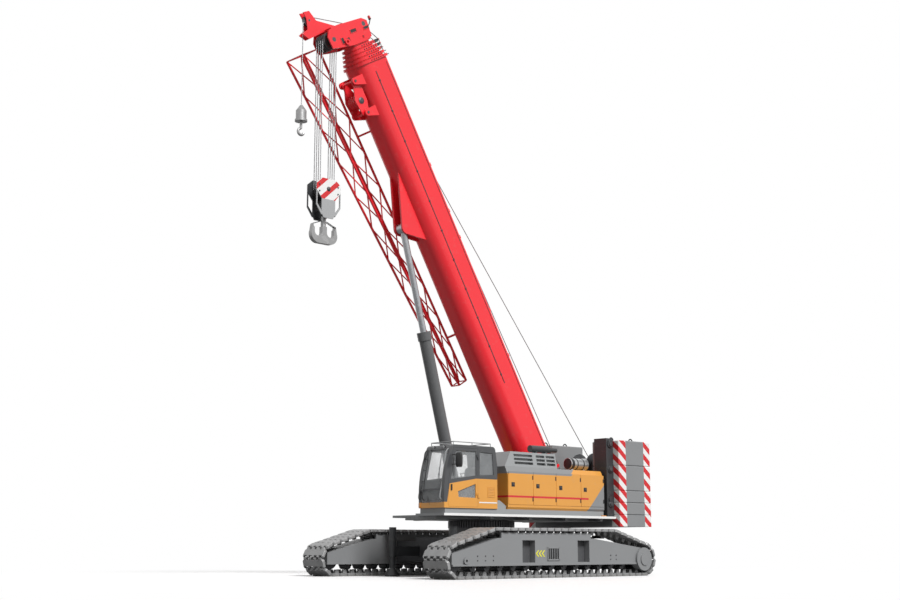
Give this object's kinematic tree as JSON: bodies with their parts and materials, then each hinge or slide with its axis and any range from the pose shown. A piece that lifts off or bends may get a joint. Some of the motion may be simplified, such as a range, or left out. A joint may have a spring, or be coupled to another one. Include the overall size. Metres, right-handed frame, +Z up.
{
  "type": "telescopic boom crawler crane",
  "caption": "Crawler crane with a slewing superstructure, luffing telescopic boom, stowed lattice jib, hook block on rope falls, auxiliary hook, cab, counterweight and corner jacks.",
  "frame": {"origin": "on the ground below the middle of the machine's box", "axes": "+X forward along the tracks and the boom, +Y to the machine's left, +Z up"},
  "size_m": [12.971, 6.5, 16.4475],
  "materials": {
    "red_paint": "gloss",
    "orange_paint": "gloss",
    "grey_paint": "satin",
    "dark_paint": "satin",
    "counterweight_paint": "satin",
    "track_steel": "worn",
    "machined_steel": "satin",
    "rod_chrome": "polished",
    "rope_wire": "oiled",
    "tinted_glass": "clear",
    "seat_cloth": "woven",
    "canister_silver": "satin"
  },
  "bodies": {
    "undercarriage": {"carbody": "dark_paint", "track_frame_left": "grey_paint", "track_frame_right": "grey_paint", "track_left": "track_steel", "track_right": "track_steel", "track_rollers": "track_steel", "idlers": "track_steel", "sprockets": "track_steel", "travel_drives": "grey_paint", "lashing_eyes": "grey_paint", "jack_arms": "grey_paint", "slew_gear": "machined_steel"},
    "superstructure": {"turntable": "dark_paint", "walkways": "grey_paint", "cab_shell": "orange_paint", "cab_glass": "tinted_glass", "operator_seat": "seat_cloth", "engine_housing": "orange_paint", "upper_housing": "grey_paint", "engine_block": "dark_paint", "tank_housing": "orange_paint", "muffler": "dark_paint", "air_cleaner": "canister_silver", "main_winch_stand": "dark_paint", "aux_winch_stand": "dark_paint", "counterweight_base": "counterweight_paint", "counterweight_left": "counterweight_paint", "counterweight_right": "counterweight_paint", "counterweight_posts": "dark_paint"},
    "jack_fl": {"jack_leg_fl": "grey_paint"},
    "jack_fr": {"jack_leg_fr": "grey_paint"},
    "jack_rl": {"jack_leg_rl": "grey_paint"},
    "jack_rr": {"jack_leg_rr": "grey_paint"},
    "door": {"cab_door": "orange_paint", "door_glass": "tinted_glass"},
    "main_drum": {"main_drum": "rope_wire"},
    "aux_drum": {"aux_drum": "rope_wire"},
    "boom": {"boom_base": "red_paint", "lattice_jib": "red_paint", "stowed_block": "red_paint"},
    "section_2": {"boom_section_2": "red_paint"},
    "section_3": {"boom_section_3": "red_paint"},
    "section_4": {"boom_section_4": "red_paint"},
    "section_5": {"boom_section_5": "red_paint"},
    "section_6": {"boom_section_6": "red_paint", "head_sheaves": "machined_steel", "rooster_sheave": "machined_steel", "jib_lugs": "red_paint"},
    "lift_rod": {"luff_rod": "rod_chrome"},
    "lift_barrel": {"luff_barrel": "grey_paint"},
    "falls": {"main_falls": "rope_wire"},
    "block": {"hook_block": "orange_paint", "block_sheaves": "machined_steel"},
    "hook": {"main_hook": "machined_steel"},
    "aux_line": {"aux_fall": "rope_wire"},
    "aux_block": {"aux_hook": "orange_paint"}
  },
  "joints": [
    {"name": "slew", "type": "hinge", "parent": "undercarriage", "child": "superstructure", "pos_m": [-0.7755, 0, 1.64], "axis": [0, 0, 1], "continuous": true},
    {"name": "luff", "type": "hinge", "parent": "superstructure", "child": "boom", "pos_m": [-3.2255, 0, 2.9], "axis": [0, -1, 0], "range_deg": [-59.3, 20.7]},
    {"name": "telescope_2", "type": "slide", "parent": "boom", "child": "section_2", "axis": [0.5105, 0, 0.8599], "range_m": [0, 10.4]},
    {"name": "telescope_3", "type": "slide", "parent": "section_2", "child": "section_3", "axis": [0.5105, 0, 0.8599], "range_m": [0, 10.4]},
    {"name": "telescope_4", "type": "slide", "parent": "section_3", "child": "section_4", "axis": [0.5105, 0, 0.8599], "range_m": [0, 10.4]},
    {"name": "telescope_5", "type": "slide", "parent": "section_4", "child": "section_5", "axis": [0.5105, 0, 0.8599], "range_m": [0, 10.4]},
    {"name": "telescope_6", "type": "slide", "parent": "section_5", "child": "section_6", "axis": [0.5105, 0, 0.8599], "range_m": [0, 10.4]},
    {"name": "rod_eye", "type": "hinge", "parent": "boom", "child": "lift_rod", "pos_m": [2.45119, 0, 10.34524], "axis": [0, -1, 0], "range_deg": [-17.66, 6.17]},
    {"name": "barrel_slide", "type": "slide", "parent": "lift_rod", "child": "lift_barrel", "axis": [0.2636, 0, 0.9646], "range_m": [-0.9452, 2.7059]},
    {"name": "falls_plumb", "type": "hinge", "parent": "section_6", "child": "falls", "pos_m": [5.44593, 0, 15.48689], "axis": [0, -1, 0], "range_deg": [-20.71, 59.31]},
    {"name": "main_hoist", "type": "slide", "parent": "falls", "child": "block", "axis": [0, 0, -1], "range_m": [-3.3, 9.34], "deforming": ["main_falls"]},
    {"name": "hook_swivel", "type": "hinge", "parent": "block", "child": "hook", "pos_m": [5.44593, 0, 9.73489], "axis": [0, 0, 1], "continuous": true},
    {"name": "aux_plumb", "type": "hinge", "parent": "section_6", "child": "aux_line", "pos_m": [6.15719, 0, 15.96007], "axis": [0, -1, 0], "range_deg": [-20.71, 59.31]},
    {"name": "aux_hoist", "type": "slide", "parent": "aux_line", "child": "aux_block", "axis": [0, 0, -1], "range_m": [-1.85, 12.37], "deforming": ["aux_fall"]},
    {"name": "main_drum_turn", "type": "hinge", "parent": "superstructure", "child": "main_drum", "pos_m": [-4.33549, 0, 2.65], "axis": [0, 1, 0], "continuous": true},
    {"name": "aux_drum_turn", "type": "hinge", "parent": "superstructure", "child": "aux_drum", "pos_m": [-5.67549, 0, 3.5], "axis": [0, 1, 0], "continuous": true},
    {"name": "door_swing", "type": "hinge", "parent": "superstructure", "child": "door", "pos_m": [1.01201, 1.76, 2.26], "axis": [0, 0, 1], "range_deg": [0, 95]},
    {"name": "jack_fl_slide", "type": "slide", "parent": "undercarriage", "child": "jack_fl", "axis": [0, 0, -1], "range_m": [-0.28, 0.25]},
    {"name": "jack_fr_slide", "type": "slide", "parent": "undercarriage", "child": "jack_fr", "axis": [0, 0, -1], "range_m": [-0.28, 0.25]},
    {"name": "jack_rl_slide", "type": "slide", "parent": "undercarriage", "child": "jack_rl", "axis": [0, 0, -1], "range_m": [-0.28, 0.25]},
    {"name": "jack_rr_slide", "type": "slide", "parent": "undercarriage", "child": "jack_rr", "axis": [0, 0, -1], "range_m": [-0.28, 0.25]}
  ],
  "couplings": [
    {"joint": "telescope_3", "follows": "telescope_2", "ratio": 1},
    {"joint": "telescope_4", "follows": "telescope_2", "ratio": 1},
    {"joint": "telescope_5", "follows": "telescope_2", "ratio": 1},
    {"joint": "telescope_6", "follows": "telescope_2", "ratio": 1},
    {"joint": "falls_plumb", "follows": "luff", "ratio": -1},
    {"joint": "aux_plumb", "follows": "luff", "ratio": -1},
    {"joint": "rod_eye", "follows": "luff", "ratio": 0.29769},
    {"joint": "barrel_slide", "follows": "luff", "m_per_rad": -2.6134}
  ]
}
